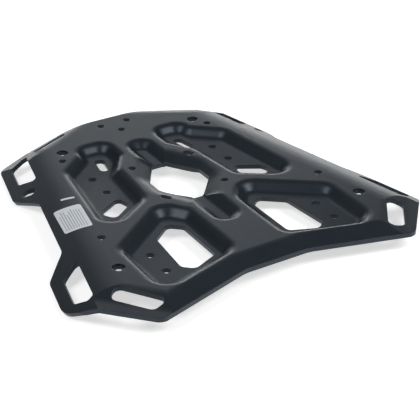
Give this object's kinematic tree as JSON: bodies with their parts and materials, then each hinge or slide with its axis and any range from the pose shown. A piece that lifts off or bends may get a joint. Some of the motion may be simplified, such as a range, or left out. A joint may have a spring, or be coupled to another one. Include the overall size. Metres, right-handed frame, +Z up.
{
  "type": "motorcycle luggage rack plate",
  "caption": "Pressed sheet luggage rack for a motorcycle tail, with sunk pockets, bolt holes and strap windows in turned down ears.",
  "frame": {"origin": "centre of the base of the bounding box, on the plane the ears' lower edges rest on", "axes": "+X to the right across the rack, +Y towards the narrow front edge, +Z up out of the load face"},
  "size_m": [0.3504, 0.3256, 0.0209],
  "materials": {
    "powder_coat": "satin"
  },
  "bodies": {
    "root": {"rack": "powder_coat"}
  },
  "joints": []
}
